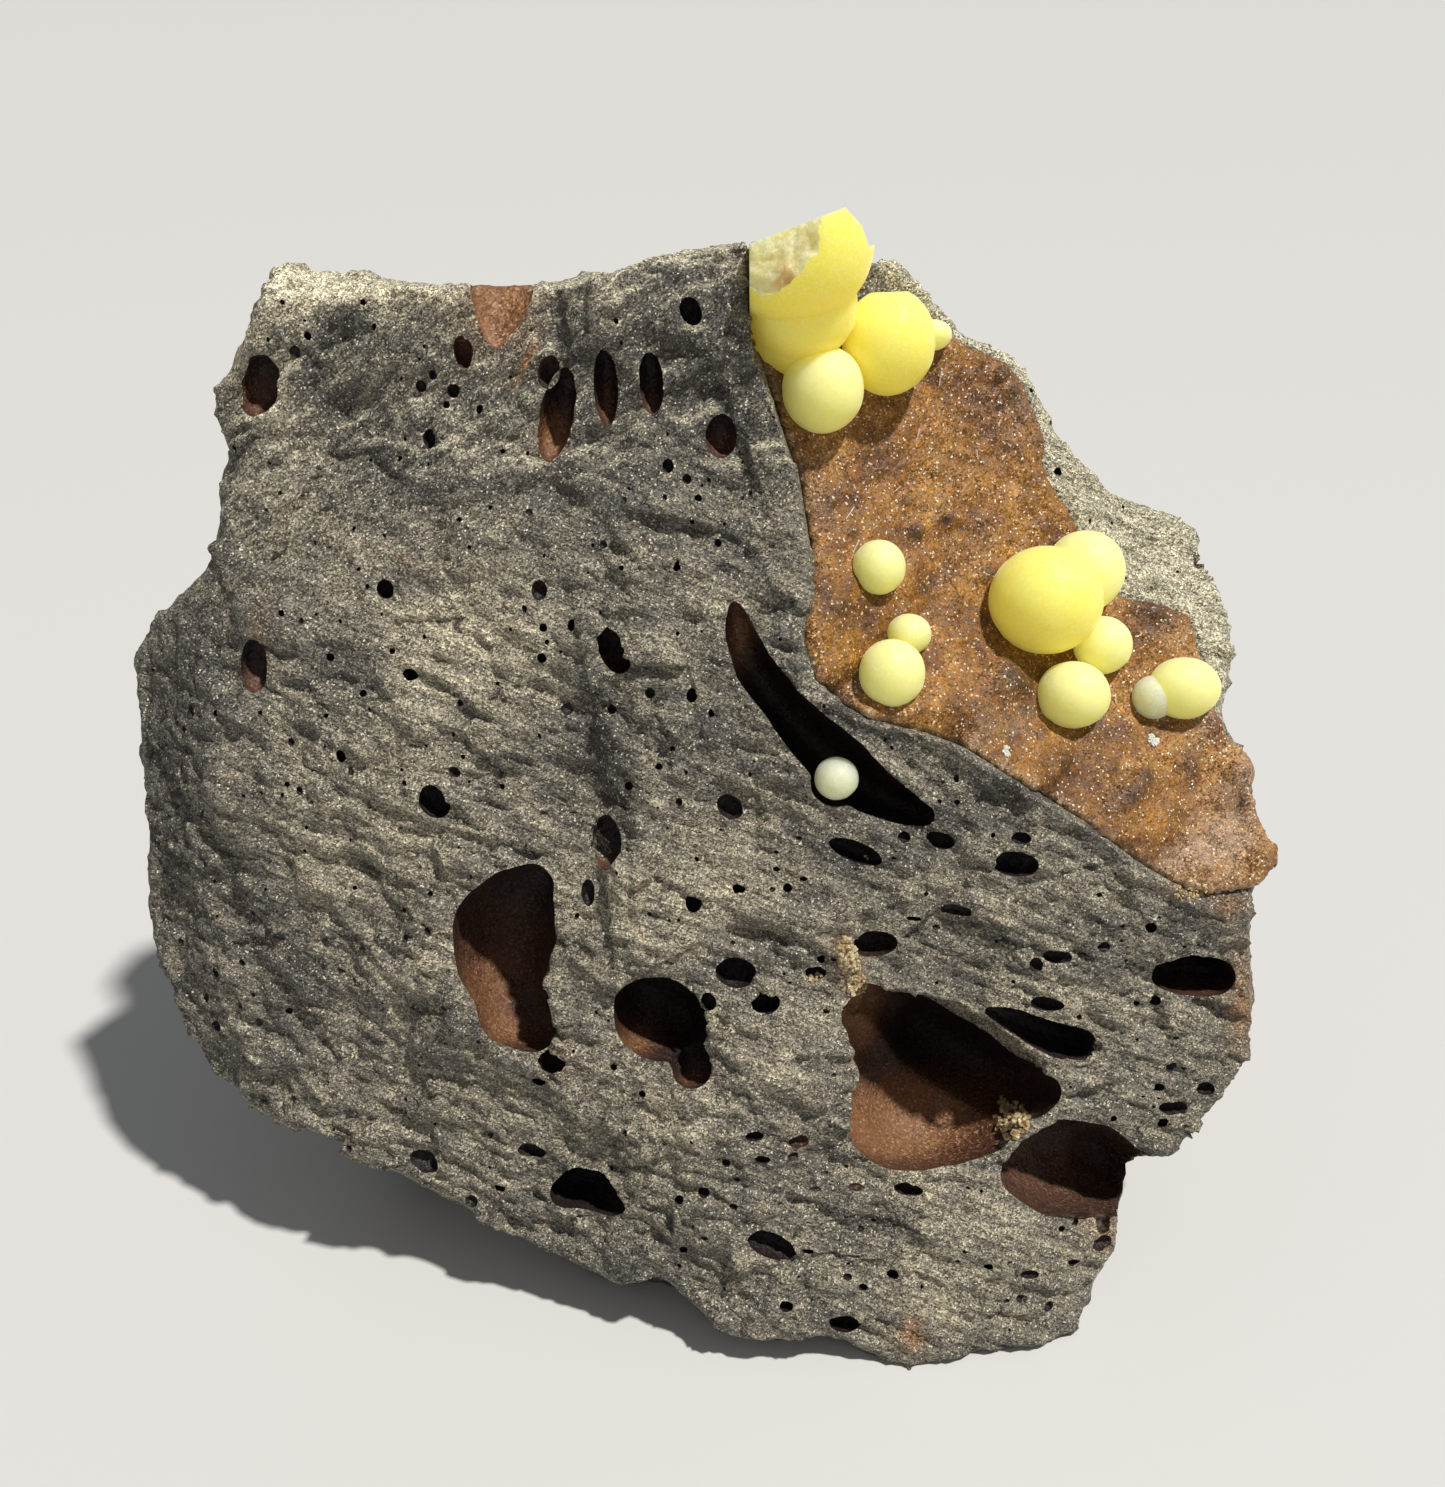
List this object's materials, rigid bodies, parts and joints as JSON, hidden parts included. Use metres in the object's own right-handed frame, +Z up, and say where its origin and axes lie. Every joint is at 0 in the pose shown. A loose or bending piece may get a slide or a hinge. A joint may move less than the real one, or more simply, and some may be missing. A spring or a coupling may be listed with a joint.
{
  "type": "calcite specimen on basalt matrix",
  "caption": "Mineral specimen: a broken vesicular basalt block with a brown crusted hollow that carries rounded yellow calcite balls. It rests on a flat base.",
  "frame": {"origin": "on the flat surface that the block stands on, under the middle of its box", "axes": "+Z up, the broken face with the hollows looks towards -Y, +X to the right as seen from in front of it"},
  "size_m": [0.1256, 0.0716, 0.1098],
  "materials": {
    "basalt": "rough broken stone with fine glints",
    "crust": "rough brown mineral crust with tiny sparkles",
    "calcite": "waxy translucent yellow",
    "pale_calcite": "waxy translucent pale green-white"
  },
  "bodies": {
    "root": {"basalt_matrix": "basalt", "cavity_crust": "crust", "calcite_cluster_corner": "calcite", "calcite_ball_upper": "calcite", "calcite_pair_left": "calcite", "calcite_cluster_right": "calcite", "calcite_ball_lower": "calcite", "calcite_pair_edge": "calcite", "calcite_ball_slit": "pale_calcite"}
  },
  "joints": []
}
